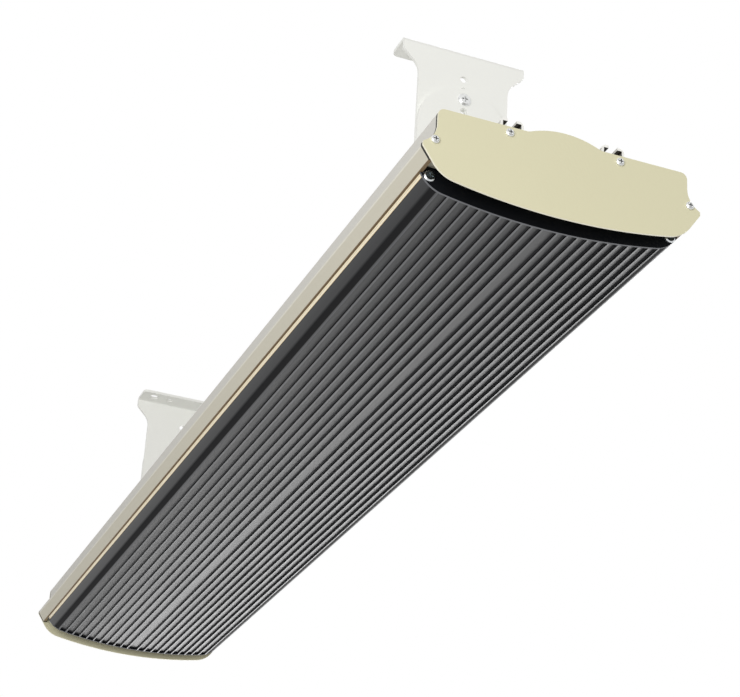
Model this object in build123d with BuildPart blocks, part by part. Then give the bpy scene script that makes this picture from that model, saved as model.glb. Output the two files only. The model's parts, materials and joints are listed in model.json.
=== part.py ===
from build123d import *
from math import radians, sqrt, tan
import os

# An infrared heater bar that hangs under a ceiling, in millimetres.
# X runs along the bar towards its near end, Y across it, Z is up, and the hot panel faces down.
# The origin is under the middle of the whole length, level with the foot of the end caps.

# Overall size of the bar
body_length = 990.0
body_width = 190.0
widest_z = 27.0
top_z = 55.5
hump_top_z = 61.0

# Cross-section of the bar
base_radius = 400.0
wall_lean = 34.2
base_corner_radius = 22.0
nose_height = 2.6
nose_radius = 1.1
neck_inset = 9.0
neck_radius = 16.0
shoulder_radius = 4.5
hump_half_width = 25.0
hump_blend_radius = 8.0

# Housing
housing_wall = 2.0
housing_edge_z = 19.2
ledge_bottom_z = 24.0
ledge_thickness = 2.0
ledge_inset = 18.0

# Rails for the bracket bolts
rail_y = 35.0
rail_width = 16.0
rail_top_z = 63.4
rail_lip = 2.0
rail_mouth = 6.2
channel_width = 12.4
channel_depth = 8.0
rail_floor = 2.0
rail_corner_radius = 3.5
channel_corner_radius = 1.5

# End caps, gaskets and their screws
cap_thickness = 1.5
gasket_thickness = 2.0
gasket_margin = 1.0
side_screw_inset = 7.6
side_screw_z = 32.1
top_screw_y = 38.1
top_screw_z = 50.8
cap_screw_radius = 1.5
cap_screw_length = 14.0
cap_head_radius = 2.8
cap_head_height = 1.9
side_boss_radius = 2.9
top_boss_radius = 3.3
head_bevel = 0.45
recess_span = 1.1
recess_slot = 0.26
recess_depth = 0.6
screw_clearance = 0.2
thread_clearance = 0.05

# Ribbed panel
panel_setback = 18.0
rib_tip_inset = 0.5
rib_height = 3.4
rib_thickness = 1.3
rib_pitch = 7.12
centre_pitch = 10.3
ribs_each_side = 11
web_thickness = 3.0
panel_top_z = 22.5
panel_shoulder_z = 16.2
panel_wall_gap = 0.4
port_boss_radius = 3.3

# Panel end plates and their screws
end_plate_thickness = 1.6
plate_gap = 0.5
plate_screw_inset = 12.1
plate_screw_z = 17.0
plate_screw_radius = 1.6
plate_screw_length = 18.0
plate_head_radius = 3.7
plate_head_height = 1.6
plate_tab_half_width = 20.0
plate_shoulder_z = 46.8

# Side strips and panel seals
strip_top_z = 18.8
strip_bottom_z = 16.6
strip_inset = 0.9
strip_thickness = 1.3
strip_groove = 0.4
strip_groove_width = 0.7
seal_width = 4.6
seal_inset = 11.0

# Heating elements
element_radius = 4.1
element_fit = 0.05
element_z = 16.5
inner_leg_y = 16.5
outer_leg_y = 52.0
pad_width = 14.0
pad_rise = 1.0
screw_rib_width = 8.0
bend_room = 46.0
terminal_room = 34.0
insulator_radius = 3.4
insulator_length = 8.0
stud_radius = 1.5
stud_length = 7.0

# Element clamps
clamp_count = 4
clamp_width = 16.0
clamp_thickness = 2.5
clamp_half_length = 62.0
clamp_end_margin = 90.0
clamp_screw_radius = 1.9
clamp_screw_length = 11.0
clamp_head_radius = 3.8
clamp_slot_width = 0.8
clamp_slot_depth = 1.0

# Insulation and heat shield
blanket_top_z = 42.1
blanket_inset = 20.5
blanket_end_room = 4.0
shield_thickness = 0.8
shield_inset = 18.6
shield_flange = 8.0
soft_gap = 0.15
wiring_room = 58.0

# Terminal block and wires
block_length = 24.0
block_width = 34.0
block_height = 11.0
block_offset = 20.0
block_bevel = 1.0
pole_pitch = 11.0
pole_screw_radius = 1.7
pole_screw_depth = 4.0
pole_screw_sink = 0.6
pole_slot_depth = 1.0
pole_bore_depth = 6.0
wire_end_gap = 1.0
wire_radius = 1.3
wire_lane_z = 45.4
wire_bend_radius = 5.0
wire_turn = 9.0
earth_screw_z = 25.0
earth_end_z = 33.4
earth_turn = 27.0
earth_lug_thickness = 0.8
earth_lug_radius = 4.2
earth_screw_length = 8.0

# Cable gland
gland_z = 45.0
gland_thread_radius = 8.0
gland_thread_tail = 1.0
gland_neck_radius = 7.0
gland_bore_radius = 5.0
gland_grip_radius = 4.0
gland_hex = 19.0
gland_lock_hex = 21.0
gland_body_height = 5.0
gland_nut_height = 16.0
gland_lock_height = 4.5
gland_nut_wall = 2.5
gland_dome_length = 4.0
gland_lip = 2.0
gland_seal_length = 4.0
gland_reach = gland_body_height + gland_nut_height
grommet_hole_radius = 7.0
grommet_lip = 2.0

# Brackets
plate_thickness = 2.5
plate_half_width = 35.0
plate_length = 129.0
flange_half_width = 47.5
flange_depth = 24.0
flange_corner_radius = 4.0
flare_start = 9.6
flare_end = 22.1
flare_radius = 15.0
bend_radius = 1.5
row_first = 23.8
row_last_inset = 9.2
row_count = 11
row_hole_radius = 2.6
bolt_hole_inset = 14.5
bolt_hole_radius = 4.5
small_hole_y = 19.0
small_hole_radius = 3.25
pivot_row_hole = 2
bracket_gap = 0.2
slide_gap = 0.1
near_bracket_from_end = 165.8
far_bracket_from_end = 120.0

# Bolts of the brackets
t_bolt_radius = 2.95
t_bolt_head = 9.0
t_bolt_head_height = 4.0
t_bolt_length = 15.0
t_bolt_tip_bevel = 0.5
t_washer_radius = 8.0
t_washer_thickness = 1.6
t_nut_flats = 10.0
t_nut_height = 5.0
pivot_radius = 2.52
pivot_head_radius = 4.25
pivot_head_height = 1.2
pivot_washer_radius = 5.0
pivot_washer_thickness = 0.6
pivot_nut_flats = 8.0
pivot_nut_height = 4.0
pivot_tail = 2.0

# Places that follow from the sizes
half_width = body_width / 2
neck_half_width = half_width - neck_inset
ledge_inner_y = half_width - ledge_inset
side_screw_y = half_width - side_screw_inset
plate_screw_y = half_width - plate_screw_inset
seal_inner_y = half_width - seal_inset
blanket_half_width = half_width - blanket_inset
shield_half_width = half_width - shield_inset
row_pitch = (plate_length - row_first - row_last_inset) / (row_count - 1)
mid_x = (gland_reach - cap_head_height) / 2
far_x = mid_x - body_length / 2
end_depth = cap_thickness + gasket_thickness
housing_length = body_length - 2 * end_depth
panel_length = body_length - 2 * (panel_setback + end_plate_thickness)
panel_far_x = mid_x - panel_length / 2
panel_near_x = mid_x + panel_length / 2
lean_slope = tan(radians(wall_lean))
nose_top_z = widest_z + nose_height
channel_top_z = rail_top_z - rail_lip
pad_top_z = element_z + pad_rise
clamp_bottom_z = element_z + element_radius + element_fit
clamp_top_z = clamp_bottom_z + clamp_thickness
ledge_top_z = ledge_bottom_z + ledge_thickness
shield_bottom_z = blanket_top_z + soft_gap
shield_top_z = shield_bottom_z + shield_thickness
rib_places = [centre_pitch / 2 + rib_pitch * step for step in range(ribs_each_side)]
foot_z = rail_top_z + slide_gap
pivot_z = foot_z + row_first + row_pitch * (row_count - 1)
ceiling_z = pivot_z + row_first + row_pitch * pivot_row_hole

os.makedirs("parts", exist_ok=True)


def save(piece, name):
    """Name a finished piece and write it."""
    piece.part.label = name
    export_step(piece.part, f"parts/{name}.step")


def end_x(side, depth):
    """X of a plane that lies a depth inside the near (1) or far (-1) end."""
    return mid_x + side * (body_length / 2 - depth)


def across(x):
    """Plane across the bar at x, with its sketch axes along Y and Z."""
    return Plane.YZ.offset(x)


def section(inset=0.0):
    """The whole cross-section of the bar, as the end caps show it, shrunk by an inset."""
    wall_foot = half_width - lean_slope * widest_z
    swing = base_radius - wall_foot * lean_slope
    corner_z = swing - sqrt(swing**2 - (lean_slope**2 + 1) * wall_foot**2)
    corner_z = corner_z / (lean_slope**2 + 1)
    corner_y = wall_foot + lean_slope * corner_z
    neck_centre_y = neck_half_width + neck_radius
    neck_rise = sqrt(neck_radius**2 - (neck_centre_y - half_width) ** 2)
    neck_z = nose_top_z + neck_rise
    with BuildSketch(Plane.XY) as outline:
        with BuildLine():
            half = [
                Line((corner_y, corner_z), (half_width, widest_z)),
                Line((half_width, widest_z), (half_width, nose_top_z)),
                RadiusArc((half_width, nose_top_z), (neck_half_width, neck_z), neck_radius),
                Line((neck_half_width, neck_z), (neck_half_width, top_z)),
                Line((neck_half_width, top_z), (hump_half_width, top_z)),
            ]
            mirror(half, about=Plane.YZ)
            ThreePointArc((-corner_y, corner_z), (0, 0), (corner_y, corner_z))
            ThreePointArc((-hump_half_width, top_z), (0, hump_top_z), (hump_half_width, top_z))
        make_face()
        for radius, spot_y, spot_z in (
            (base_corner_radius, corner_y, corner_z),
            (nose_radius, half_width, widest_z),
            (nose_radius, half_width, nose_top_z),
            (shoulder_radius, neck_half_width, top_z),
            (hump_blend_radius, hump_half_width, top_z),
        ):
            for hand in (-1, 1):
                spot = Vector(hand * spot_y, spot_z, 0)
                fillet(outline.vertices().sort_by_distance(spot)[0], radius)
        if inset:
            offset(amount=-inset)
    return outline.sketch


# Sections used more than once
full_section = section()
inner_section = section(housing_wall)
tip_section = section(rib_tip_inset)
valley_section = section(rib_tip_inset + rib_height)
web_section = section(rib_tip_inset + rib_height + web_thickness)
rebate_section = section(housing_wall + panel_wall_gap)
plate_section = section(housing_wall + plate_gap)
strip_outer_section = section(strip_inset)
strip_groove_section = section(strip_inset + strip_groove)
strip_inner_section = section(strip_inset + strip_thickness)
gasket_inner_section = section(housing_wall + gasket_margin)

cap_screw_spots = [
    (hand * spot_y, spot_z)
    for hand in (-1, 1)
    for spot_y, spot_z in ((side_screw_y, side_screw_z), (top_screw_y, top_screw_z))
]

rib_spots = [(hand * rib_y, 0) for hand in (-1, 1) for rib_y in rib_places]
leg_places = (-outer_leg_y, -inner_leg_y, inner_leg_y, outer_leg_y)
screw_rib_places = (-(inner_leg_y + outer_leg_y) / 2, (inner_leg_y + outer_leg_y) / 2)
plate_screw_spots = [(hand * plate_screw_y, plate_screw_z) for hand in (-1, 1)]
blanket_far_x = panel_far_x + wiring_room
blanket_near_x = panel_near_x - blanket_end_room
leg_end_x = panel_far_x + terminal_room
bend_x = panel_near_x - bend_room
clamp_run = panel_length - 2 * clamp_end_margin
clamp_places = [
    panel_far_x + clamp_end_margin + clamp_run * step / (clamp_count - 1)
    for step in range(clamp_count)
]
clamp_screw_spots = [(clamp_x, rib_y) for clamp_x in clamp_places for rib_y in screw_rib_places]
tall = 2 * body_width


# Housing
with BuildPart() as housing:
    with BuildSketch(across(end_x(-1, end_depth))):
        add(full_section)
        add(inner_section, mode=Mode.SUBTRACT)
        for hand in (-1, 1):
            with Locations((hand * ledge_inner_y, ledge_bottom_z)):
                reach = (Align.MIN if hand > 0 else Align.MAX, Align.MIN)
                Rectangle(half_width, ledge_thickness, align=reach)
            with Locations((hand * side_screw_y, side_screw_z)):
                Circle(side_boss_radius)
            with Locations((hand * top_screw_y, top_screw_z)):
                Circle(top_boss_radius)
        add(full_section, mode=Mode.INTERSECT)
        with Locations((0, housing_edge_z)):
            Rectangle(tall, tall, align=(Align.CENTER, Align.MAX), mode=Mode.SUBTRACT)
        rail_height = rail_lip + channel_depth + rail_floor
        with Locations(*[(hand * rail_y, rail_top_z - rail_height / 2) for hand in (-1, 1)]):
            RectangleRounded(rail_width, rail_height, rail_corner_radius)
        with Locations(*[(hand * rail_y, channel_top_z - channel_depth / 2) for hand in (-1, 1)]):
            RectangleRounded(
                channel_width, channel_depth, channel_corner_radius, mode=Mode.SUBTRACT
            )
        with Locations(*[(hand * rail_y, rail_top_z) for hand in (-1, 1)]):
            Rectangle(rail_mouth, 3 * rail_lip, mode=Mode.SUBTRACT)
        with Locations(*cap_screw_spots):
            Circle(cap_screw_radius + thread_clearance, mode=Mode.SUBTRACT)
    extrude(amount=housing_length)
save(housing, "housing")


def cap_gasket(side, name):
    """Gasket between the housing's end and its cap."""
    with BuildPart() as gasket:
        with BuildSketch(across(end_x(side, end_depth))):
            add(full_section)
            add(gasket_inner_section, mode=Mode.SUBTRACT)
            with Locations(*cap_screw_spots):
                Circle(top_boss_radius)
            add(full_section, mode=Mode.INTERSECT)
            with Locations((0, housing_edge_z)):
                Rectangle(tall, tall, align=(Align.CENTER, Align.MAX), mode=Mode.SUBTRACT)
            with Locations(*cap_screw_spots):
                Circle(cap_screw_radius + screw_clearance, mode=Mode.SUBTRACT)
        extrude(amount=side * gasket_thickness)
    save(gasket, name)


def end_cap(side, name):
    """Flat end cap; the far one is bored for the cable gland."""
    with BuildPart() as cap:
        with BuildSketch(across(end_x(side, cap_thickness))):
            add(full_section)
            with Locations(*cap_screw_spots):
                Circle(cap_screw_radius + screw_clearance, mode=Mode.SUBTRACT)
            if side < 0:
                with Locations((0, gland_z)):
                    Circle(gland_thread_radius + thread_clearance, mode=Mode.SUBTRACT)
        extrude(amount=side * cap_thickness)
    save(cap, name)


def pan_screws(name, x, side, spots, shank_radius, length, head_radius, head_height):
    """Pan-head screws with cross recesses, seated at x with their heads towards side."""
    with BuildPart() as screws:
        with BuildSketch(across(x)):
            with Locations(*spots):
                Circle(head_radius)
        extrude(amount=side * head_height)
        rims = screws.faces().group_by(Axis.X)[-1 if side > 0 else 0].edges()
        chamfer(rims, length=head_height * head_bevel)
        with BuildSketch(across(x + side * head_height)):
            with Locations(*spots):
                Rectangle(head_radius * recess_span, head_radius * recess_slot)
                Rectangle(head_radius * recess_slot, head_radius * recess_span)
        extrude(amount=-side * head_height * recess_depth, mode=Mode.SUBTRACT)
        with BuildSketch(across(x)):
            with Locations(*spots):
                Circle(shank_radius)
        extrude(amount=-side * length)
    save(screws, name)


for side, end_name in ((1, "near"), (-1, "far")):
    cap_gasket(side, f"cap_gasket_{end_name}")
    end_cap(side, f"end_cap_{end_name}")
    pan_screws(
        f"cap_screws_{end_name}",
        end_x(side, 0),
        side,
        cap_screw_spots,
        cap_screw_radius,
        cap_screw_length,
        cap_head_radius,
        cap_head_height,
    )

# Ribbed radiant panel
with BuildSketch() as rib_bars:
    with Locations(*rib_spots):
        Rectangle(rib_thickness, tall)
    with Locations((0, panel_shoulder_z)):
        Rectangle(tall, tall, align=(Align.CENTER, Align.MIN), mode=Mode.SUBTRACT)
    add(tip_section, mode=Mode.INTERSECT)
with BuildSketch() as panel_corners:
    add(tip_section)
    Rectangle(2 * rib_places[-1], tall, mode=Mode.SUBTRACT)
    with Locations((0, panel_shoulder_z)):
        Rectangle(tall, tall, align=(Align.CENTER, Align.MIN), mode=Mode.SUBTRACT)
with BuildSketch() as panel_flanks:
    add(strip_inner_section)
    Rectangle(2 * rib_places[-1], tall, mode=Mode.SUBTRACT)
    with Locations((0, housing_edge_z)):
        Rectangle(tall, tall, align=(Align.CENTER, Align.MIN), mode=Mode.SUBTRACT)
    with Locations((0, strip_bottom_z)):
        Rectangle(tall, tall, align=(Align.CENTER, Align.MAX), mode=Mode.SUBTRACT)
with BuildSketch() as panel_back:
    for leg_y in leg_places:
        with Locations((leg_y, pad_top_z)):
            Rectangle(pad_width, pad_top_z, align=(Align.CENTER, Align.MAX))
    for rib_y in screw_rib_places:
        with Locations((rib_y, clamp_bottom_z)):
            Rectangle(screw_rib_width, clamp_bottom_z, align=(Align.CENTER, Align.MAX))
    with Locations(*plate_screw_spots):
        Circle(port_boss_radius)
    add(valley_section, mode=Mode.INTERSECT)
with BuildPart() as radiant_panel:
    with BuildSketch(across(panel_far_x)):
        add(rebate_section)
        Rectangle(2 * rib_places[-1], tall, mode=Mode.SUBTRACT)
        add(valley_section)
        add(panel_flanks.sketch)
        add(panel_corners.sketch)
        add(web_section, mode=Mode.SUBTRACT)
        add(rib_bars.sketch)
        with Locations((0, panel_top_z)):
            Rectangle(tall, tall, align=(Align.CENTER, Align.MIN), mode=Mode.SUBTRACT)
        add(panel_back.sketch)
        with Locations(*[(leg_y, element_z) for leg_y in leg_places]):
            Circle(element_radius + element_fit, mode=Mode.SUBTRACT)
            Rectangle(
                2 * (element_radius + element_fit),
                2 * pad_rise,
                align=(Align.CENTER, Align.MIN),
                mode=Mode.SUBTRACT,
            )
        with Locations(*plate_screw_spots):
            Circle(plate_screw_radius + thread_clearance, mode=Mode.SUBTRACT)
    extrude(amount=panel_length)
    milled_z = element_z - element_radius - panel_wall_gap
    for milled_x, milled_length in (
        (panel_far_x, terminal_room),
        (bend_x, bend_room),
    ):
        with Locations((milled_x, 0, milled_z)):
            Box(
                milled_length,
                2 * clamp_half_length,
                tall,
                align=(Align.MIN, Align.CENTER, Align.MIN),
                mode=Mode.SUBTRACT,
            )
    with BuildSketch(Plane.XY.offset(clamp_bottom_z)):
        with Locations(*clamp_screw_spots):
            Circle(clamp_screw_radius + thread_clearance)
    extrude(amount=-(clamp_screw_length - clamp_thickness + thread_clearance), mode=Mode.SUBTRACT)
save(radiant_panel, "radiant_panel")


def side_strip(hand, name):
    """Grooved trim strip in the rebate along one side of the panel."""
    with BuildPart() as strip:
        with BuildSketch(across(panel_far_x)):
            groove_z = (strip_top_z + strip_bottom_z) / 2
            add(strip_outer_section)
            with Locations((0, groove_z)):
                Rectangle(tall, strip_groove_width, mode=Mode.SUBTRACT)
            add(strip_groove_section)
            add(strip_inner_section, mode=Mode.SUBTRACT)
            with Locations((hand * half_width, groove_z)):
                Rectangle(half_width, strip_top_z - strip_bottom_z, mode=Mode.INTERSECT)
        extrude(amount=panel_length)
    save(strip, name)


def panel_seal(hand, name):
    """Heat-proof seal between the top of a panel side and the housing's ledge."""
    with BuildPart() as seal:
        with BuildSketch(across(panel_far_x)):
            with Locations((hand * (seal_inner_y + seal_width / 2), panel_top_z)):
                seal_height = ledge_bottom_z - panel_top_z
                Rectangle(seal_width, seal_height, align=(Align.CENTER, Align.MIN))
        extrude(amount=panel_length)
    save(seal, name)


def panel_end_plate(side, name):
    """Plate closing one end of the panel and hooking over the housing's ledges."""
    with BuildPart() as plate:
        with BuildSketch(across(end_x(side, panel_setback + end_plate_thickness))):
            add(tip_section)
            with Locations((0, housing_edge_z - plate_gap)):
                Rectangle(tall, tall, align=(Align.CENTER, Align.MIN), mode=Mode.SUBTRACT)
            add(plate_section)
            for hand in (-1, 1):
                reach = (Align.MIN if hand > 0 else Align.MAX, Align.MIN)
                with Locations((hand * (ledge_inner_y - plate_gap), ledge_bottom_z - plate_gap)):
                    Rectangle(
                        half_width,
                        ledge_thickness + 2 * plate_gap,
                        align=reach,
                        mode=Mode.SUBTRACT,
                    )
                with Locations((hand * side_screw_y, side_screw_z)):
                    Circle(side_boss_radius + plate_gap, mode=Mode.SUBTRACT)
                with Locations((hand * plate_tab_half_width, plate_shoulder_z)):
                    Rectangle(half_width, tall, align=reach, mode=Mode.SUBTRACT)
                with Locations((hand * plate_screw_y, plate_screw_z)):
                    Circle(plate_screw_radius + screw_clearance, mode=Mode.SUBTRACT)
            if side < 0:
                with Locations((0, gland_z)):
                    Circle(grommet_hole_radius, mode=Mode.SUBTRACT)
                with Locations((0, earth_screw_z)):
                    Circle(plate_screw_radius + thread_clearance, mode=Mode.SUBTRACT)
        extrude(amount=side * end_plate_thickness)
    save(plate, name)


side_strip(-1, "side_strip_left")
side_strip(1, "side_strip_right")
panel_seal(-1, "panel_seal_left")
panel_seal(1, "panel_seal_right")
for side, end_name in ((1, "near"), (-1, "far")):
    panel_end_plate(side, f"panel_end_plate_{end_name}")
    pan_screws(
        f"end_plate_screws_{end_name}",
        end_x(side, panel_setback),
        side,
        plate_screw_spots,
        plate_screw_radius,
        plate_screw_length,
        plate_head_radius,
        plate_head_height,
    )


def heating_element(hand, name):
    """Hairpin heating element with its bend at the near end of the panel."""
    with BuildPart() as element:
        inner_end, inner_bend = [Vector(x, hand * inner_leg_y, element_z) for x in (leg_end_x, bend_x)]
        outer_end, outer_bend = [Vector(x, hand * outer_leg_y, element_z) for x in (leg_end_x, bend_x)]
        bend_reach = Vector((outer_leg_y - inner_leg_y) / 2, 0, 0)
        with BuildLine() as route:
            Line(inner_end, inner_bend)
            ThreePointArc(inner_bend, (inner_bend + outer_bend) / 2 + bend_reach, outer_bend)
            Line(outer_bend, outer_end)
        with BuildSketch(Plane(origin=route.line @ 0, z_dir=route.line % 0)):
            Circle(element_radius)
        sweep()
    save(element, name)


heating_element(-1, "heating_element_left")
heating_element(1, "heating_element_right")

leg_spots = [(leg_y, element_z) for leg_y in leg_places]
with BuildPart() as insulators:
    with BuildSketch(across(leg_end_x)):
        with Locations(*leg_spots):
            Circle(insulator_radius)
            Circle(stud_radius + thread_clearance, mode=Mode.SUBTRACT)
    extrude(amount=-insulator_length)
save(insulators, "element_insulators")

with BuildPart() as studs:
    with BuildSketch(across(leg_end_x)):
        with Locations(*leg_spots):
            Circle(stud_radius)
    extrude(amount=-(insulator_length + stud_length))
save(studs, "element_terminals")

with BuildPart() as clamps:
    with BuildSketch(Plane.XY.offset(clamp_bottom_z)):
        with Locations(*[(clamp_x, 0) for clamp_x in clamp_places]):
            Rectangle(clamp_width, 2 * clamp_half_length)
    extrude(amount=clamp_thickness)
    for clamp_x, rib_y in clamp_screw_spots:
        with Locations((clamp_x, rib_y, clamp_top_z)):
            CounterSinkHole(
                clamp_screw_radius + thread_clearance, clamp_head_radius + thread_clearance
            )
save(clamps, "element_clamps")

with BuildPart() as clamp_screws:
    for clamp_x, rib_y in clamp_screw_spots:
        with Locations((clamp_x, rib_y, clamp_top_z)):
            Cylinder(
                clamp_screw_radius,
                clamp_screw_length,
                align=(Align.CENTER, Align.CENTER, Align.MAX),
            )
            Cone(
                clamp_screw_radius,
                clamp_head_radius,
                clamp_head_radius - clamp_screw_radius,
                align=(Align.CENTER, Align.CENTER, Align.MAX),
            )
            Box(
                2 * clamp_head_radius,
                clamp_slot_width,
                clamp_slot_depth,
                align=(Align.CENTER, Align.CENTER, Align.MAX),
                mode=Mode.SUBTRACT,
            )
save(clamp_screws, "clamp_screws")

with BuildPart() as blanket:
    with Locations((blanket_far_x, 0, clamp_top_z + soft_gap)):
        Box(
            blanket_near_x - blanket_far_x,
            2 * blanket_half_width,
            blanket_top_z - clamp_top_z - soft_gap,
            align=(Align.MIN, Align.CENTER, Align.MIN),
        )
save(blanket, "insulation_blanket")

with BuildPart() as shield:
    with BuildSketch(across(blanket_far_x)):
        with Locations((0, shield_top_z)):
            Rectangle(
                2 * shield_half_width,
                shield_top_z - ledge_top_z,
                align=(Align.CENTER, Align.MAX),
            )
        with Locations((0, ledge_top_z)):
            Rectangle(
                2 * (shield_half_width + shield_flange),
                shield_thickness,
                align=(Align.CENTER, Align.MIN),
            )
        with Locations((0, shield_bottom_z)):
            Rectangle(
                2 * (shield_half_width - shield_thickness),
                tall,
                align=(Align.CENTER, Align.MAX),
                mode=Mode.SUBTRACT,
            )
    extrude(amount=blanket_near_x - blanket_far_x)
save(shield, "heat_shield")

# Terminal block and wiring
block_x = blanket_far_x + block_offset
block_face_x = block_x - block_length / 2
pole_places = (-pole_pitch, 0, pole_pitch)
pole_screw_spots = [(block_x, pole_y) for pole_y in pole_places]
block_top_z = shield_top_z + block_height
with BuildPart() as terminal_block:
    with Locations((block_x, 0, shield_top_z)):
        Box(
            block_length,
            block_width,
            block_height,
            align=(Align.CENTER, Align.CENTER, Align.MIN),
        )
    chamfer(terminal_block.edges().filter_by(Axis.X).group_by(Axis.Z)[-1], length=block_bevel)
    with BuildSketch(across(block_face_x)):
        with Locations(*[(pole_y, wire_lane_z) for pole_y in pole_places]):
            Circle(wire_radius + thread_clearance)
    extrude(amount=pole_bore_depth, mode=Mode.SUBTRACT)
    with BuildSketch(Plane.XY.offset(block_top_z)):
        with Locations(*pole_screw_spots):
            Circle(pole_screw_radius + thread_clearance)
    extrude(amount=-pole_screw_depth, mode=Mode.SUBTRACT)
save(terminal_block, "terminal_block")

with BuildPart() as pole_screws:
    with BuildSketch(Plane.XY.offset(block_top_z - pole_screw_depth)):
        with Locations(*pole_screw_spots):
            Circle(pole_screw_radius)
    extrude(amount=pole_screw_depth - pole_screw_sink)
    with BuildSketch(Plane.XY.offset(block_top_z - pole_screw_sink)):
        with Locations(*pole_screw_spots):
            Rectangle(4 * pole_screw_radius, pole_screw_radius / 2)
    extrude(amount=-pole_slot_depth, mode=Mode.SUBTRACT)
save(pole_screws, "terminal_block_screws")

stud_tip_x = leg_end_x - insulator_length - stud_length


def wire(name, points):
    """Insulated wire along straight runs joined by tangent bends."""
    with BuildPart() as lead:
        with BuildLine() as route:
            FilletPolyline(*points, radius=wire_bend_radius)
        with BuildSketch(Plane(origin=route.line @ 0, z_dir=route.line % 0)):
            Circle(wire_radius)
        sweep()
    save(lead, name)


turn_x = stud_tip_x - wire_turn
wire_end_x = block_face_x + pole_bore_depth - wire_end_gap
for hand, name in ((-1, "wire_live"), (1, "wire_neutral")):
    wire(
        name,
        [
            (stud_tip_x, hand * outer_leg_y, element_z),
            (turn_x, hand * outer_leg_y, element_z),
            (turn_x, hand * outer_leg_y, wire_lane_z),
            (turn_x, hand * pole_pitch, wire_lane_z),
            (wire_end_x, hand * pole_pitch, wire_lane_z),
        ],
    )
wire(
    "wire_link",
    [
        (stud_tip_x, -inner_leg_y, element_z),
        (turn_x, -inner_leg_y, element_z),
        (turn_x, inner_leg_y, element_z),
        (stud_tip_x, inner_leg_y, element_z),
    ],
)

with BuildPart() as earth_wire:
    with BuildLine() as earth_route:
        FilletPolyline(
            (wire_end_x, 0, wire_lane_z),
            (panel_far_x + earth_turn, 0, wire_lane_z),
            (panel_far_x + earth_turn, 0, earth_end_z),
            (panel_far_x, 0, earth_end_z),
            radius=wire_bend_radius,
        )
    with BuildSketch(Plane(origin=earth_route.line @ 0, z_dir=earth_route.line % 0)):
        Circle(wire_radius)
    sweep()
    with BuildSketch(across(panel_far_x)):
        with Locations((0, earth_screw_z)):
            Circle(earth_lug_radius)
            Rectangle(
                2 * wire_radius,
                earth_end_z + wire_radius - earth_screw_z,
                align=(Align.CENTER, Align.MIN),
            )
            Circle(plate_screw_radius + screw_clearance, mode=Mode.SUBTRACT)
    extrude(amount=earth_lug_thickness)
save(earth_wire, "wire_earth")

pan_screws(
    "earth_screw",
    panel_far_x + earth_lug_thickness,
    1,
    [(0, earth_screw_z)],
    plate_screw_radius,
    earth_screw_length,
    plate_head_radius,
    plate_head_height,
)

with BuildPart() as grommet:
    with BuildSketch(across(panel_far_x - end_plate_thickness - grommet_lip)):
        with Locations((0, gland_z)):
            Circle(grommet_hole_radius + grommet_lip)
            Circle(gland_bore_radius, mode=Mode.SUBTRACT)
    extrude(amount=end_plate_thickness + 2 * grommet_lip)
    with BuildSketch(across(panel_far_x - end_plate_thickness)):
        with Locations((0, gland_z)):
            Circle(grommet_hole_radius + 2 * grommet_lip)
            Circle(grommet_hole_radius - thread_clearance, mode=Mode.SUBTRACT)
    extrude(amount=end_plate_thickness, mode=Mode.SUBTRACT)
save(grommet, "wire_grommet")

# Cable gland on the far cap
with BuildPart() as gland_body:
    with BuildSketch(across(far_x)):
        with Locations((0, gland_z)):
            RegularPolygon(gland_hex / 2, 6, major_radius=False)
    extrude(amount=-gland_body_height)
    with BuildSketch(across(far_x)):
        with Locations((0, gland_z)):
            Circle(gland_thread_radius)
    extrude(amount=cap_thickness + gland_lock_height + gland_thread_tail)
    with BuildSketch(across(far_x - gland_body_height)):
        with Locations((0, gland_z)):
            Circle(gland_neck_radius)
    extrude(amount=-gland_nut_height / 2)
    with BuildSketch(across(far_x - gland_reach)):
        with Locations((0, gland_z)):
            Circle(gland_bore_radius)
    extrude(amount=2 * gland_reach, mode=Mode.SUBTRACT)
save(gland_body, "gland_body")

with BuildPart() as gland_lock_nut:
    with BuildSketch(across(far_x + cap_thickness)):
        with Locations((0, gland_z)):
            RegularPolygon(gland_lock_hex / 2, 6, major_radius=False)
            Circle(gland_thread_radius + thread_clearance, mode=Mode.SUBTRACT)
    extrude(amount=gland_lock_height)
save(gland_lock_nut, "gland_lock_nut")

nut_seat_x = far_x - gland_body_height
nut_tip_x = nut_seat_x - gland_nut_height
dome_x = nut_tip_x + gland_dome_length
nut_bore_z = gland_z + gland_neck_radius + thread_clearance
nut_rim_z = gland_z + gland_neck_radius + gland_nut_wall
with BuildPart() as gland_dome_nut:
    with BuildSketch(Plane.XZ):
        with BuildLine():
            Polyline(
                (nut_seat_x, nut_bore_z),
                (nut_seat_x, nut_rim_z),
                (dome_x, nut_rim_z),
                (nut_tip_x, gland_z + gland_bore_radius + gland_lip),
                (nut_tip_x, gland_z + gland_bore_radius),
                (nut_tip_x + gland_lip, gland_z + gland_bore_radius),
                (dome_x, nut_bore_z),
                close=True,
            )
        make_face()
    revolve(axis=Axis((0, 0, gland_z), (1, 0, 0)))
save(gland_dome_nut, "gland_dome_nut")

with BuildPart() as gland_seal:
    with BuildSketch(across(nut_seat_x - gland_nut_height / 2)):
        with Locations((0, gland_z)):
            Circle(gland_neck_radius)
            Circle(gland_grip_radius, mode=Mode.SUBTRACT)
    extrude(amount=-gland_seal_length)
save(gland_seal, "gland_seal")


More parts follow.
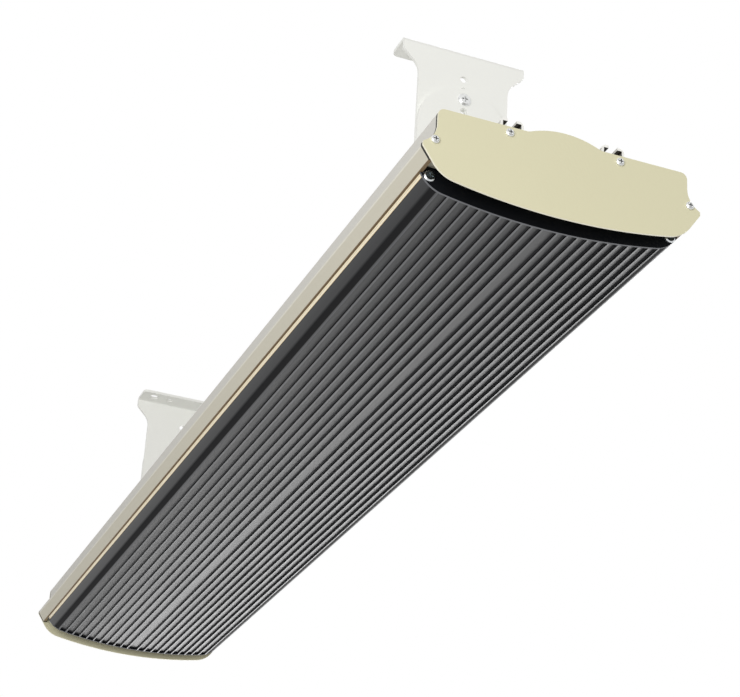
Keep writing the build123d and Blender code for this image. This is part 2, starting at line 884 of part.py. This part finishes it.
def bracket(side, rise, face_x, flange_z, name):
    """Bent bracket plate: rise is 1 when it stands on its flange and -1 when it hangs."""
    with BuildPart() as plate:
        inner = (face_x - side * plate_thickness, flange_z + rise * plate_thickness)
        with BuildSketch(Plane.XZ) as bent:
            with BuildLine():
                Polyline(
                    (face_x, flange_z),
                    (face_x, flange_z + rise * plate_length),
                    (inner[0], flange_z + rise * plate_length),
                    inner,
                    (face_x - side * flange_depth, inner[1]),
                    (face_x - side * flange_depth, flange_z),
                    close=True,
                )
            make_face()
            fillet(bent.vertices().sort_by_distance(Vector(*inner, 0))[0], bend_radius)
            heel = Vector(face_x, flange_z, 0)
            fillet(bent.vertices().sort_by_distance(heel)[0], bend_radius + plate_thickness)
        extrude(amount=flange_half_width, both=True)
        tips = plate.edges().filter_by(Axis.Z).group_by(Axis.X)[0 if side > 0 else -1]
        fillet(tips, flange_corner_radius)
        front_plane = Plane(
            origin=(face_x, 0, flange_z), x_dir=(0, 1, 0), z_dir=(rise, 0, 0)
        )
        with BuildSketch(front_plane) as front:
            with BuildLine():
                half = [
                    Line((flange_half_width, 0), (flange_half_width, flare_start)),
                    Line((flange_half_width, flare_start), (plate_half_width, flare_end)),
                    Line(
                        (plate_half_width, flare_end),
                        (plate_half_width, plate_length - plate_half_width),
                    ),
                ]
                mirror(half, about=Plane.YZ)
                Line((-flange_half_width, 0), (flange_half_width, 0))
                ThreePointArc(
                    (-plate_half_width, plate_length - plate_half_width),
                    (0, plate_length),
                    (plate_half_width, plate_length - plate_half_width),
                )
            make_face()
            for hand in (-1, 1):
                shoulder = Vector(hand * flange_half_width, flare_start, 0)
                fillet(front.vertices().sort_by_distance(shoulder)[0], flange_corner_radius)
                waist = Vector(hand * plate_half_width, flare_end, 0)
                fillet(front.vertices().sort_by_distance(waist)[0], flare_radius)
            with Locations(*[(0, row_first + row_pitch * step) for step in range(row_count)]):
                Circle(row_hole_radius, mode=Mode.SUBTRACT)
        extrude(amount=flange_depth, both=True, mode=Mode.INTERSECT)
        with BuildSketch(Plane.XY.offset(flange_z)):
            bolt_x = face_x - side * bolt_hole_inset
            with Locations((bolt_x, -rail_y), (bolt_x, rail_y)):
                Circle(bolt_hole_radius)
            with Locations((bolt_x, -small_hole_y), (bolt_x, small_hole_y)):
                Circle(small_hole_radius)
        extrude(amount=2 * plate_thickness, both=True, mode=Mode.SUBTRACT)
    save(plate, name)


def bracket_bolts(side, face_x, end_name):
    """Slot bolts with washers and nuts that clamp a lower bracket to the rails."""
    spots = [(face_x - side * bolt_hole_inset, hand * rail_y) for hand in (-1, 1)]
    head_top_z = channel_top_z - slide_gap
    seat_z = foot_z + plate_thickness
    with BuildPart() as t_bolts:
        with BuildSketch(Plane.XY.offset(head_top_z)):
            with Locations(*spots):
                Rectangle(t_bolt_head, t_bolt_head)
        extrude(amount=-t_bolt_head_height)
        with BuildSketch(Plane.XY.offset(head_top_z)):
            with Locations(*spots):
                Circle(t_bolt_radius)
        extrude(amount=t_bolt_length)
        chamfer(t_bolts.faces().group_by(Axis.Z)[-1].edges(), length=t_bolt_tip_bevel)
    save(t_bolts, f"t_bolts_{end_name}")
    with BuildPart() as washers:
        with BuildSketch(Plane.XY.offset(seat_z)):
            with Locations(*spots):
                Circle(t_washer_radius)
                Circle(t_bolt_radius + screw_clearance, mode=Mode.SUBTRACT)
        extrude(amount=t_washer_thickness)
    save(washers, f"t_bolt_washers_{end_name}")
    with BuildPart() as nuts:
        with BuildSketch(Plane.XY.offset(seat_z + t_washer_thickness)):
            with Locations(*spots):
                RegularPolygon(t_nut_flats / 2, 6, major_radius=False)
                Circle(t_bolt_radius + thread_clearance, mode=Mode.SUBTRACT)
        extrude(amount=t_nut_height)
    save(nuts, f"t_bolt_nuts_{end_name}")


def pivot_set(side, face_x, end_name):
    """Bolt, spring washer and nut on which a pair of bracket plates turns."""
    pair_thickness = 2 * plate_thickness + bracket_gap
    nut_x = face_x - side * (pair_thickness + slide_gap)
    pan_screws(
        f"pivot_bolt_{end_name}",
        face_x + side * pivot_washer_thickness,
        side,
        [(0, pivot_z)],
        pivot_radius,
        pivot_washer_thickness + pair_thickness + slide_gap + pivot_nut_height + pivot_tail,
        pivot_head_radius,
        pivot_head_height,
    )
    with BuildPart() as washer:
        with BuildSketch(across(face_x)):
            with Locations((0, pivot_z)):
                Circle(pivot_washer_radius)
                Circle(pivot_radius + thread_clearance, mode=Mode.SUBTRACT)
        extrude(amount=side * pivot_washer_thickness)
    save(washer, f"pivot_washer_{end_name}")
    with BuildPart() as nut:
        with BuildSketch(across(nut_x)):
            with Locations((0, pivot_z)):
                RegularPolygon(pivot_nut_flats / 2, 6, major_radius=False)
                Circle(pivot_radius + thread_clearance, mode=Mode.SUBTRACT)
        extrude(amount=-side * pivot_nut_height)
    save(nut, f"pivot_nut_{end_name}")


for side, end_name, distance in (
    (1, "near", near_bracket_from_end),
    (-1, "far", far_bracket_from_end),
):
    outer_face_x = end_x(side, distance)
    inner_face_x = outer_face_x - side * (plate_thickness + bracket_gap)
    bracket(side, 1, outer_face_x, foot_z, f"lower_bracket_{end_name}")
    bracket(side, -1, inner_face_x, ceiling_z, f"upper_bracket_{end_name}")
    bracket_bolts(side, outer_face_x, end_name)
    pivot_set(side, outer_face_x, end_name)
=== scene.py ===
import json
import math

import bmesh
import bpy
from mathutils import Matrix, Vector


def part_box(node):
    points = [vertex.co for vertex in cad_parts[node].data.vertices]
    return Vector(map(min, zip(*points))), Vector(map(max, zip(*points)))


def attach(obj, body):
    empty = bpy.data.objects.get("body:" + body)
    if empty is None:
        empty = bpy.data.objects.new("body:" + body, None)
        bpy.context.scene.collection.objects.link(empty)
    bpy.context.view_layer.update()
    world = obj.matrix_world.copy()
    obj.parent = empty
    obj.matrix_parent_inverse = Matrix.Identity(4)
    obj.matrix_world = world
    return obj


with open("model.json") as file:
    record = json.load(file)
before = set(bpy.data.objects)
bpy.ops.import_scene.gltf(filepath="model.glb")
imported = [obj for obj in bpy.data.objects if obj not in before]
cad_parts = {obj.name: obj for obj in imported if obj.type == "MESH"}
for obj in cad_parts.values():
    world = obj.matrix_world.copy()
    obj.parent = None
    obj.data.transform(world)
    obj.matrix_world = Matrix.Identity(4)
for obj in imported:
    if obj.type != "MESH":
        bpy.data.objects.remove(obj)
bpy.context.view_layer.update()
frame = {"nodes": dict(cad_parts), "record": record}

# An infrared heater bar under its two ceiling brackets, seen from below its near end.
# Everything is in metres, in the same frame as the solids.

scene = bpy.context.scene
scene.view_settings.view_transform = "Standard"

# Ribbed panel: its curve, ribs and the painted shade in its corners
panel_centre_z = 0.400
rib_tip_radius = 0.3995
rib_valley_radius = 0.3961
rib_width = 0.0013
rib_spacing = 0.00712
first_rib = 0.00515
ribs_each_side = 11
panel_corner_y = 0.0772
shoulder_width = 0.0046
strip_shadow_z = 0.0160

# Valley floors, which leave the ribs their height in the photograph
valley_depth = 0.0018
valley_root = 0.0003
valley_sink = 0.0001
rib_overlap = 0.00005
root_steps = 3
floor_steps = 6

# Housing, its rails and the strips beside the panel
housing_edge_z = 0.0192
nose_z = 0.0270
rail_centre_y = 0.035
rail_floor_z = 0.0533
rail_top_z = 0.0615
channel_half_width = 0.0063
strip_middle_z = 0.0177
peel_depth = 0.00006

# Cross recesses of the cap screws and pivot bolts, as distance from the middle and height
pivot_z = 0.1833
recess_reach = 0.0021
screw_places = [(0.0874, 0.0321), (0.0381, 0.0508), (0.0, pivot_z)]

# Floor and camera
floor_z = -2.4
floor_reach = 11.0
floor_corners = 96
photo_width = 740
photo_focal = 2079.41
sensor_width = 36.0
camera_place = (1.4999, -0.48529, -0.6398)


class Reading:
    """A shader value that can be used in sums."""

    def __init__(self, nodes, socket):
        self.nodes = nodes
        self.socket = socket

    def math(self, operation, *values):
        return self.nodes.add("Math", {"operation": operation}, dict(enumerate(values)))

    def __add__(self, other):
        return self.math("ADD", self, other)

    __radd__ = __add__

    def __sub__(self, other):
        return self.math("SUBTRACT", self, other)

    def __rsub__(self, other):
        return self.math("SUBTRACT", other, self)

    def __mul__(self, other):
        return self.math("MULTIPLY", self, other)

    __rmul__ = __mul__

    def __abs__(self):
        return self.math("ABSOLUTE", self)

    def clamped(self):
        return self.math("MINIMUM", self.math("MAXIMUM", self, 0.0), 1.0)

    def larger(self, other):
        return self.math("MAXIMUM", self, other)

    def root(self):
        return self.math("SQRT", self)

    def above(self, level, softness):
        """1 where the value is over a level, with a soft step."""
        return ((self - level) * (1.0 / softness) + 0.5).clamped()

    def below(self, level, softness):
        return 1.0 - self.above(level, softness)

    def output(self, name):
        """Another output of the same node."""
        return Reading(self.nodes, self.socket.node.outputs[name])


class Nodes:
    """A node tree and the calls that fill it."""

    def __init__(self, tree):
        self.tree = tree
        self.tree.nodes.clear()

    def add(self, kind, settings=None, inputs=None, output=0):
        """Add a node, apply its settings, fill its sockets and give back one output."""
        node = self.tree.nodes.new("ShaderNode" + kind)
        for name, value in (settings or {}).items():
            if name == "stops":
                ramp = node.color_ramp
                ramp.elements[0].position, ramp.elements[0].color = value[0]
                ramp.elements[1].position, ramp.elements[1].color = value[-1]
                for position, colour in value[1:-1]:
                    ramp.elements.new(position).color = colour
            else:
                setattr(node, name, value)
        for name, value in (inputs or {}).items():
            if isinstance(value, Reading):
                self.tree.links.new(value.socket, node.inputs[name])
            else:
                node.inputs[name].default_value = value
        return Reading(self, node.outputs[output]) if node.outputs else None

    def mixed(self, factor, first, second):
        """Mix two shaders."""
        return self.add("MixShader", None, {0: factor, 1: first, 2: second})

    def seen_ray(self):
        """1 for rays from the camera and for what gloss and glass show."""
        ray = self.add("LightPath", output="Is Camera Ray")
        return ray.larger(ray.output("Is Glossy Ray")).larger(ray.output("Is Transmission Ray"))


class Finish(Nodes):
    """A procedural material with its own surface readings."""

    def __init__(self, name):
        self.material = bpy.data.materials.new(name)
        self.material.use_nodes = True
        super().__init__(self.material.node_tree)

    def spot(self):
        """Place on the part along x, y and z."""
        parts = self.add("SeparateXYZ", None, {0: self.add("TexCoord", output="Object")})
        return parts, parts.output("Y"), parts.output("Z")

    def facing(self):
        """How the surface faces along x, y and z."""
        parts = self.add("SeparateXYZ", None, {0: self.add("TexCoord", output="Normal")})
        return parts, parts.output("Y"), parts.output("Z")

    def noise(self, scale, detail=2.0, roughness=0.5, stretch=(1, 1, 1)):
        """Soft noise between 0 and 1."""
        spot = self.add("TexCoord", output="Object")
        spot = self.add("Mapping", None, {"Vector": spot, "Scale": stretch})
        return self.add(
            "TexNoise", None,
            {"Vector": spot, "Scale": scale, "Detail": detail, "Roughness": roughness},
        )

    def cells(self, scale, output=0):
        """Cell pattern for spangle, fibre and pits."""
        spot = self.add("TexCoord", output="Object")
        return self.add("TexVoronoi", {"feature": "F1"}, {"Vector": spot, "Scale": scale}, output)

    def blend(self, factor, first, second):
        """Mix two colours."""
        if isinstance(factor, Reading):
            factor = factor.clamped()
        return self.add("Mix", {"data_type": "RGBA"}, {0: factor, 6: first, 7: second}, 2)

    def relief(self, height, distance):
        """Turn a height into a surface normal."""
        return self.add("Bump", None, {"Height": height, "Distance": distance, "Strength": 1.0})

    def shader(self, base, roughness, metallic=0.0, normal=None, **extra):
        """The surface shader."""
        inputs = {"Base Color": base, "Roughness": roughness, "Metallic": metallic}
        if normal is not None:
            inputs["Normal"] = normal
        inputs.update(extra)
        return self.add("BsdfPrincipled", None, inputs)

    def close(self, *values, **extra):
        """End the material in its shader."""
        self.add("OutputMaterial", None, {"Surface": self.shader(*values, **extra)})
        return self.material


def rgb(red, green, blue):
    """A colour from 0 to 255 as the shader wants it."""
    linear = []
    for part in (red, green, blue):
        value = part / 255
        linear.append(value / 12.92 if value <= 0.04045 else ((value + 0.055) / 1.055) ** 2.4)
    return (*linear, 1.0)


def tinted(colour, gain):
    """A colour made lighter or darker."""
    return (*(min(1.0, part * gain) for part in colour[:3]), 1.0)


def paint_coat(finish, colour, gloss, speckle):
    """Clouded powder coat with fine grain: its colour, roughness and orange peel height."""
    cloud = finish.noise(7.0, 3.0)
    grain = finish.noise(2600.0, 1.0)
    base = finish.blend(cloud, tinted(colour, 0.97), tinted(colour, 1.03))
    base = finish.blend(grain * speckle, base, tinted(colour, 0.7))
    height = finish.noise(520.0, 2.0, 0.45)
    roughness = gloss + (cloud - 0.5) * 0.08 + (grain - 0.5) * 0.06
    return base, roughness, height


def powder_paint(name, colour):
    """Powder coat: orange peel, faint cloudiness and fine grain."""
    finish = Finish(name)
    base, roughness, height = paint_coat(finish, colour, 0.4, 0.04)
    normal = finish.relief(height, peel_depth)
    return finish.close(base, roughness, normal=normal, **{"Specular IOR Level": 0.3})


def cap_coat(name, colour, rim):
    """Powder coat on the end caps, with a painted highlight round the cut rim."""
    finish = Finish(name)
    base, roughness, height = paint_coat(finish, colour, 0.45, 0.04)
    along = finish.facing()[0]
    # Painted highlight: the rim faces, which do not face along the bar, take the paler rim colour.
    edge_highlight = 1.0 - abs(along).above(0.8, 0.3)
    base = finish.blend(edge_highlight * 0.85, base, rim)
    normal = finish.relief(height, peel_depth)
    return finish.close(base, roughness, normal=normal, **{"Specular IOR Level": 0.35})


def housing_coat(name, colour, nose_shade, nose_highlight, shade, lip_shadow, bare):
    """Powder coat on the drawn housing: painted shade on the band above the nose, a painted
    highlight along the nose, bare sawn ends, painted shadow on the lip and painted shade inside the
    rails.
    """
    finish = Finish(name)
    base, roughness, height = paint_coat(finish, colour, 0.5, 0.04)
    _, across, up = finish.spot()
    side = abs(across)
    # Painted shade: the inside of the rail channels takes the dark shade colour.
    in_rail = abs(side - rail_centre_y).below(channel_half_width, 0.0004)
    in_rail = in_rail * up.above(rail_floor_z, 0.0003) * up.below(rail_top_z, 0.0003)
    # Painted shade: the band above the nose is painted greyer than the slanted wall.
    base = finish.blend(up.above(nose_z + 0.0006, 0.002) * 0.8, base, nose_shade)
    # Painted highlight: a lighter line along the nose edge.
    base = finish.blend(abs(up - nose_z).below(0.0005, 0.0006) * 0.7, base, nose_highlight)
    # Painted shadow: the housing's lower lip, by the gap to the strip, is painted dark brown.
    base = finish.blend(up.below(housing_edge_z + 0.0001, 0.0001), base, lip_shadow)
    sawn = abs(finish.facing()[0]).above(0.9, 0.05)
    base = finish.blend(sawn * 0.9, base, bare)
    base = finish.blend(in_rail, base, shade)
    normal = finish.relief(height, peel_depth)
    return finish.close(base, roughness, 0.0, normal, **{"Specular IOR Level": 0.25})


def plate_coat(name, colour, rim):
    """Matt black coat on the panel's end plates, with a painted highlight along the lower edge."""
    finish = Finish(name)
    base, roughness, height = paint_coat(finish, colour, 0.6, 0.02)
    along, _, up = finish.facing()
    # Painted highlight: the down-facing rim faces of the plate take the grey rim colour.
    edge_highlight = (1.0 - abs(along).above(0.6, 0.3)) * up.below(-0.5, 0.3)
    base = finish.blend(edge_highlight, base, rim)
    normal = finish.relief(height, 0.00005)
    return finish.close(base, roughness, normal=normal, **{"Specular IOR Level": 0.1})


def zinc(name, colour, roughness=0.3, recesses=()):
    """Zinc plate: bright, slightly clouded, fine turning marks, painted shade inside the cross
    recesses.
    """
    finish = Finish(name)
    cloud = finish.noise(220.0, 3.0)
    marks = finish.noise(1800.0, 2.0, 0.6, (1.0, 1.0, 4.0))
    base = finish.blend(cloud, tinted(colour, 0.9), colour)
    _, across, up = finish.spot()
    wall = abs(finish.facing()[0]).below(0.8, 0.2)
    # Painted shade: the walls of each cross recess take the dark recess colour.
    for recess_y, recess_z in recesses:
        beside, over = abs(across) - recess_y, up - recess_z
        inside = (beside * beside + over * over).root().below(recess_reach, 0.0002)
        base = finish.blend(inside * wall * 0.9, base, recess_shade)
    rough = roughness + (cloud - 0.5) * 0.16 + (marks - 0.5) * 0.1
    return finish.close(base, rough, 0.9, finish.relief(marks, 0.00003))


def dark_chrome(name, colour, rim):
    """Dark chrome screw with a painted highlight on its rim."""
    finish = Finish(name)
    cloud = finish.noise(260.0, 3.0)
    along = finish.facing()[0]
    # Painted highlight: the side of the head, not facing along the bar, takes the bright rim
    # colour.
    edge_highlight = 1.0 - abs(along).above(0.85, 0.2)
    base = finish.blend(cloud, colour, tinted(colour, 1.5))
    base = finish.blend(edge_highlight, base, rim)
    marks = finish.noise(1500.0, 2.0)
    return finish.close(base, 0.24 + (cloud - 0.5) * 0.14, 0.95, finish.relief(marks, 0.00003))


def anodised_panel(name):
    """Black anodised ribs: satin valleys, painted shade on the flanks, shoulders and under the
    strip, a painted highlight on the rib tips, lengthwise drawing lines.
    """
    finish = Finish(name)
    _, across, height = finish.spot()
    side = abs(across)
    drop = panel_centre_z - height
    reach = (across * across + drop * drop).root()
    inside = side.below(panel_corner_y, 0.0004)
    # Painted highlight: the rib tips are painted lighter.
    tip_highlight = reach.above(rib_tip_radius - 0.0003, 0.0003) * inside
    flat = abs(finish.facing()[2]).above(0.6, 0.4)
    lines = finish.noise(900.0, 3.0, 0.6, (0.012, 1.0, 1.0))
    cloud = finish.noise(9.0, 3.0)
    base = finish.blend(cloud, rgb(28, 29, 31), rgb(34, 35, 37))
    base = finish.blend(lines * 0.3, base, rgb(72, 74, 78))
    base = finish.blend(tip_highlight * flat * (0.4 + lines * 0.4), base, rgb(100, 102, 106))
    rough = 0.36 + (lines - 0.5) * 0.14 + (cloud - 0.5) * 0.06
    normal = finish.relief(lines, 0.000012)
    satin = finish.shader(base, rough, 0.0, normal, **{"IOR": 1.5})
    # Painted shade: a dull near-black shader covers the rib flanks, the shoulder beside the first
    # rib, the band under the strip and faintly the corner.
    shade_black = finish.shader(rgb(22, 22, 24), 0.8, 0.0, normal, **{"Specular IOR Level": 0.1})
    corner = side.above(panel_corner_y, 0.0004)
    shoulder = corner * side.below(panel_corner_y + shoulder_width, 0.0018)
    under_strip = height.above(strip_shadow_z, 0.0002) * corner
    painted_shade = ((1.0 - flat) * inside * 0.9).larger(shoulder * 0.95).larger(under_strip)
    painted_shade = painted_shade.larger(corner * 0.12)
    finish.add("OutputMaterial", None, {"Surface": finish.mixed(painted_shade, satin, shade_black)})
    return finish.material


def champagne_strip(name, middle, side, shade):
    """Champagne anodised strip, brushed along its length, with a painted highlight down the middle,
    painted shade towards the sides and painted shadow at the edges.
    """
    finish = Finish(name)
    offset = abs(finish.spot()[2] - strip_middle_z)
    lines = finish.noise(900.0, 3.0, 0.6, (0.01, 1.0, 1.0))
    # Painted highlight in the middle and painted shade on the sides of the strip.
    base = finish.blend(offset.above(0.0006, 0.0006), middle, side)
    base = finish.blend(lines * 0.3, base, tinted(side, 0.8))
    # Painted shadow along both edges, where the gaps to the housing and the panel are.
    base = finish.blend(offset.above(0.00102, 0.0001), base, shade)
    rough = 0.34 + (lines - 0.5) * 0.14
    return finish.close(base, rough, 0.2, finish.relief(lines, 0.00003))


def spangled_steel(name, colour):
    """Galvanised sheet with crystal spangle."""
    finish = Finish(name)
    crystal = finish.cells(160.0, "Color")
    shade = finish.add("RGBToBW", None, {0: crystal})
    base = finish.blend(shade, tinted(colour, 0.82), tinted(colour, 1.1))
    return finish.close(base, 0.36 + shade * 0.14, 0.8, finish.relief(shade, 0.00002))


def heated_steel(name):
    """Element sheath: steel with straw and blue heat tint."""
    finish = Finish(name)
    tint = finish.noise(14.0, 2.0, 0.5, (1.0, 0.3, 0.3))
    grain = finish.noise(900.0, 2.0)
    base = finish.add(
        "ValToRGB",
        {"stops": [(0.3, rgb(120, 112, 104)), (0.5, rgb(142, 118, 84)), (0.7, rgb(84, 88, 104))]},
        {0: tint},
    )
    base = finish.blend(grain * 0.4, base, rgb(70, 64, 60))
    return finish.close(base, 0.4 + (grain - 0.5) * 0.2, 0.75, finish.relief(grain, 0.00003))


def fibre(name, colour, scale=700.0):
    """Matted mineral wool or fibre cord."""
    finish = Finish(name)
    strand = finish.noise(scale, 4.0, 0.7, (1.0, 0.25, 1.0))
    clump = finish.noise(60.0, 3.0)
    base = finish.blend(strand, tinted(colour, 0.72), colour)
    base = finish.blend(clump * 0.4, base, tinted(colour, 0.85))
    return finish.close(
        base, 0.92, normal=finish.relief(strand + clump, 0.0004), **{"Sheen Weight": 0.2}
    )


def moulded(name, colour, roughness=0.5, grain_scale=1500.0, depth=0.00004):
    """Moulded plastic or rubber with a fine texture."""
    finish = Finish(name)
    grain = finish.noise(grain_scale, 2.0, 0.6)
    cloud = finish.noise(30.0, 2.0)
    base = finish.blend(cloud, tinted(colour, 0.93), tinted(colour, 1.05))
    rough = roughness + (grain - 0.5) * 0.14
    return finish.close(base, rough, normal=finish.relief(grain, depth))


# Painted shade inside the cross recesses of the screws and bolts.
recess_shade = rgb(34, 34, 36)
finishes = {
    # After the base colour: painted shade for the nose band, a painted highlight along the nose,
    # painted shade for the rail insides, painted shadow for the lip, then bare metal for the sawn
    # ends.
    "housing_paint": housing_coat(
        "housing_paint", rgb(201, 197, 182), rgb(206, 205, 201), rgb(226, 224, 214),
        rgb(40, 36, 31), rgb(128, 108, 80), rgb(238, 238, 234),
    ),
    # The second colour is a painted highlight on the cap rims.
    "cap_paint": cap_coat("cap_paint", rgb(211, 207, 176), rgb(240, 236, 218)),
    "gasket_rubber": moulded("gasket_rubber", rgb(30, 29, 26), 0.75),
    "zinc_screws": zinc("zinc_screws", rgb(230, 231, 230), 0.32, screw_places),
    "panel_black": anodised_panel("panel_black"),
    # The second colour is a painted highlight on the plates' lower edges.
    "plate_black": plate_coat("plate_black", rgb(12, 14, 18), rgb(112, 114, 118)),
    # The strip colours: a painted highlight in the middle, painted shade on the sides, painted
    # shadow at the edges.
    "strip_champagne": champagne_strip(
        "strip_champagne", rgb(255, 250, 232), rgb(236, 214, 172), rgb(80, 58, 38)
    ),
    "seal_fibre": fibre("seal_fibre", rgb(214, 208, 192)),
    "element_steel": heated_steel("element_steel"),
    "insulator_ceramic": moulded("insulator_ceramic", rgb(232, 228, 214), 0.22, 900.0, 0.00001),
    "stud_nickel": zinc("stud_nickel", rgb(206, 200, 184), 0.26),
    "clamp_steel": spangled_steel("clamp_steel", rgb(176, 178, 180)),
    "blanket_fibre": fibre("blanket_fibre", rgb(224, 214, 176), 500.0),
    "shield_steel": spangled_steel("shield_steel", rgb(196, 198, 200)),
    "block_plastic": moulded("block_plastic", rgb(226, 222, 204), 0.45),
    "wire_brown": moulded("wire_brown", rgb(96, 58, 34), 0.4),
    "wire_blue": moulded("wire_blue", rgb(48, 84, 164), 0.4),
    "wire_white": moulded("wire_white", rgb(228, 228, 224), 0.4),
    "wire_green": moulded("wire_green", rgb(92, 150, 52), 0.4),
    "gland_grey": moulded("gland_grey", rgb(92, 93, 95), 0.5),
    "gland_rubber": moulded("gland_rubber", rgb(30, 30, 30), 0.75),
    "bracket_paint": powder_paint("bracket_paint", rgb(238, 239, 235)),
}
# The second colour is a painted highlight on the screw rims.
plate_screw_chrome = dark_chrome("plate_screw_chrome", rgb(84, 92, 98), rgb(226, 230, 232))

for part in frame["record"]["subparts"]:
    body = frame["nodes"][part["node"]].data
    body.materials.clear()
    if part["node"].startswith("end_plate_screws"):
        body.materials.append(plate_screw_chrome)
    else:
        body.materials.append(finishes[part["material_slot"]])


def valley_strip(near_y, far_y, far_x, near_x):
    """Corners and faces of one valley floor, rounded up to the ribs at both sides."""
    floor_radius = rib_tip_radius - valley_depth
    foot_radius = rib_valley_radius - valley_sink
    outline = [(near_y, foot_radius), (near_y, floor_radius + valley_root)]
    for step in range(1, root_steps + 1):
        turn = math.radians(90 * step / root_steps)
        rise = floor_radius + valley_root * (1 - math.sin(turn))
        outline.append((near_y + valley_root * (1 - math.cos(turn)), rise))
    span = far_y - near_y - 2 * valley_root
    for step in range(1, floor_steps):
        outline.append((near_y + valley_root + span * step / floor_steps, floor_radius))
    for step in range(root_steps, 0, -1):
        turn = math.radians(90 * step / root_steps)
        rise = floor_radius + valley_root * (1 - math.sin(turn))
        outline.append((far_y - valley_root * (1 - math.cos(turn)), rise))
    outline += [(far_y, floor_radius + valley_root), (far_y, foot_radius)]
    corners = []
    for x in (far_x, near_x):
        for y, radius in outline:
            corners.append((x, y, panel_centre_z - math.sqrt(radius * radius - y * y)))
    count = len(outline)
    faces = [(i, (i + 1) % count, count + (i + 1) % count, count + i) for i in range(count)]
    faces.append(tuple(reversed(range(count))))
    faces.append(tuple(range(count, 2 * count)))
    return corners, faces


def valley_floors():
    """Floors of the valleys between the ribs, in one mesh."""
    low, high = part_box("radiant_panel")
    ribs = [first_rib + rib_spacing * step for step in range(ribs_each_side)]
    ribs = [-y for y in reversed(ribs)] + ribs
    points, faces = [], []
    for left, right in zip(ribs, ribs[1:]):
        new_points, new_faces = valley_strip(
            left + rib_width / 2 - rib_overlap, right - rib_width / 2 + rib_overlap,
            low[0], high[0],
        )
        faces += [tuple(len(points) + corner for corner in face) for face in new_faces]
        points += new_points
    mesh = bpy.data.meshes.new("panel_valley_floors")
    mesh.from_pydata(points, [], faces)
    shape = bmesh.new()
    shape.from_mesh(mesh)
    bmesh.ops.recalc_face_normals(shape, faces=shape.faces)
    shape.to_mesh(mesh)
    shape.free()
    mesh.materials.append(finishes["panel_black"])
    piece = bpy.data.objects.new("panel_valley_floors", mesh)
    scene.collection.objects.link(piece)
    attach(piece, "heater")


valley_floors()

# Floor, light and camera
floor_mesh = bpy.data.meshes.new("floor")
rim = [math.radians(360 * step / floor_corners) for step in range(floor_corners)]
floor_mesh.from_pydata(
    [(floor_reach * math.cos(turn), floor_reach * math.sin(turn), floor_z) for turn in rim],
    [],
    [tuple(range(floor_corners))],
)
floor = bpy.data.objects.new("floor", floor_mesh)
scene.collection.objects.link(floor)
floor_finish = Finish("floor_pale")
floor_shade = floor_finish.noise(1.5, 2.0)
floor_colour = floor_finish.blend(floor_shade, rgb(238, 238, 238), rgb(244, 244, 244))
lit = floor_finish.shader(floor_colour, 0.9)
pale = floor_finish.add("Emission", None, {"Color": (1.0, 1.0, 1.0, 1.0), "Strength": 1.0})
surface = floor_finish.mixed(floor_finish.seen_ray() * 0.55, lit, pale)
floor_finish.add("OutputMaterial", None, {"Surface": surface})
floor_mesh.materials.append(floor_finish.material)

world = bpy.data.worlds.new("studio")
scene.world = world
world.use_nodes = True
studio = Nodes(world.node_tree)
fill = studio.add("Background", None, {"Color": (1.0, 0.98, 0.95, 1.0), "Strength": 0.5})
white = studio.add("Background", None, {"Color": (1.0, 1.0, 1.0, 1.0), "Strength": 1.0})
studio.add("OutputWorld", None, {"Surface": studio.mixed(studio.seen_ray(), fill, white)})


def soft_lamp(name, place, target, size, power):
    """Large white area lamp at a place, turned to a target."""
    lamp = bpy.data.lights.new(name, "AREA")
    lamp.shape = "RECTANGLE"
    lamp.size, lamp.size_y = size
    lamp.energy = power
    holder = bpy.data.objects.new(name, lamp)
    scene.collection.objects.link(holder)
    aim = (Vector(target) - Vector(place)).to_track_quat("-Z", "Y")
    holder.matrix_world = Matrix.Translation(place) @ aim.to_matrix().to_4x4()


soft_lamp("key_lamp", (2.0, -1.3, -0.25), (0.1, 0.0, 0.05), (1.2, 1.2), 32.0)
soft_lamp("side_lamp", (-3.2, 1.6, -0.8), (-0.1, 0.0, 0.0), (2.6, 1.4), 36.0)
soft_lamp("back_lamp", (-2.4, 1.8, 2.4), (0.0, 0.0, 0.1), (2.0, 2.0), 60.0)

camera_data = bpy.data.cameras.new("camera")
camera = bpy.data.objects.new("camera", camera_data)
scene.collection.objects.link(camera)
camera_data.sensor_width = sensor_width
camera_data.lens = sensor_width * photo_focal / photo_width
camera_data.clip_start = 0.05
camera_data.clip_end = 60.0
right = Vector((0.368551, 0.927979, 0.055007))
up = Vector((0.39357, -0.209369, 0.895135))
back = right.cross(up).normalized()
turn = Matrix((right, up, back)).transposed().to_4x4()
camera.matrix_world = Matrix.Translation(camera_place) @ turn
scene.camera = camera
